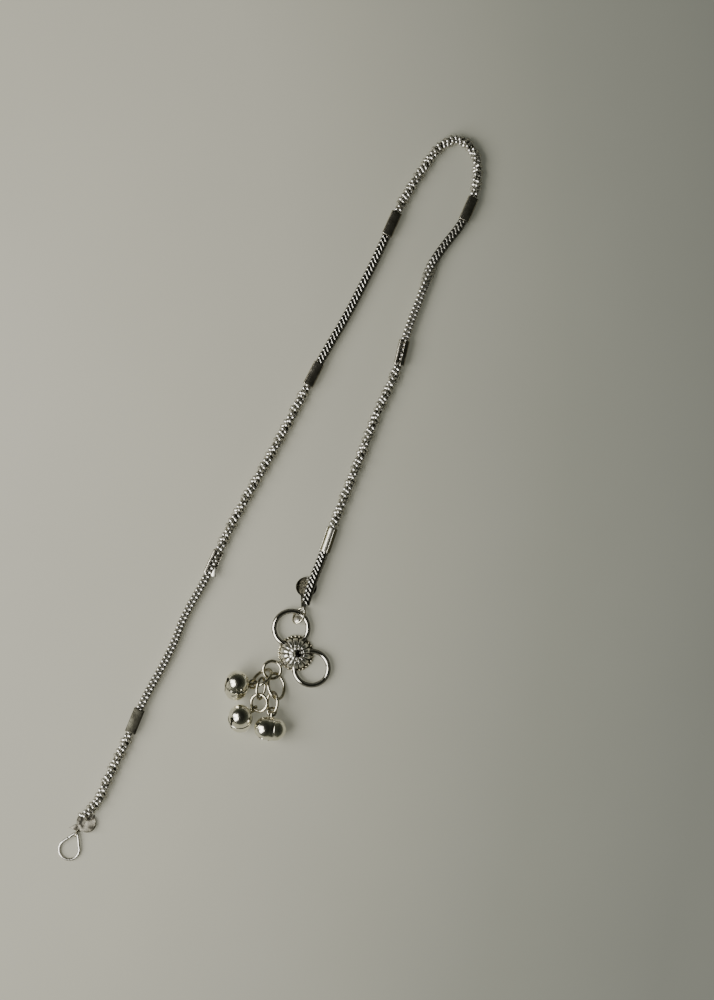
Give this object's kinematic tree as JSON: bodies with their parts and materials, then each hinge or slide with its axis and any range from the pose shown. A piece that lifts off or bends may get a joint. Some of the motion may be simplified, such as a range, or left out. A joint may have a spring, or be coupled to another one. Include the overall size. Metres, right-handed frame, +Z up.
{
  "type": "payal anklet",
  "caption": "Silver anklet laid open: woven chain in plain and twisted lengths joined by seamed sleeves, a wire hook ring at one end, a flower boss with rings and small bells at the other.",
  "frame": {"origin": "middle of the footprint of the anklet as it lies, on the surface it lies on", "axes": "+Z up from the table; +Y runs from the hook and bells towards the arch of the chain, along the longest extent; +X to the side of the bells' leg"},
  "size_m": [0.0848, 0.1449, 0.0063],
  "materials": {
    "silver_chain": "bright woven silver, lightly oxidised in its hollows",
    "silver_polished": "mirror-polished silver",
    "silver_wire": "polished round silver wire, slightly warm",
    "steel_pellet": "plain steel"
  },
  "bodies": {
    "root": {"chain_twisted_1": "silver_chain", "chain_plain_2": "silver_chain", "chain_twisted_3": "silver_chain", "chain_plain_4": "silver_chain", "chain_twisted_5": "silver_chain", "chain_plain_6": "silver_chain", "chain_twisted_7": "silver_chain", "chain_plain_8": "silver_chain", "sleeve_1": "silver_polished", "sleeve_2": "silver_polished", "sleeve_3": "silver_polished", "sleeve_4": "silver_polished", "sleeve_5": "silver_polished", "sleeve_6": "silver_polished", "sleeve_7": "silver_polished", "leaf_cap_hook": "silver_polished", "leaf_cap_charm": "silver_polished", "hook_ring": "silver_wire", "flower_connector": "silver_polished", "drop_link": "silver_wire", "jump_ring_upper": "silver_wire", "long_link": "silver_wire", "jump_ring_lower": "silver_wire", "bell_link": "silver_wire", "bell_1": "silver_polished", "bell_2": "silver_polished", "bell_3": "silver_polished", "bell_pellet_1": "steel_pellet", "bell_pellet_2": "steel_pellet", "bell_pellet_3": "steel_pellet"}
  },
  "joints": []
}
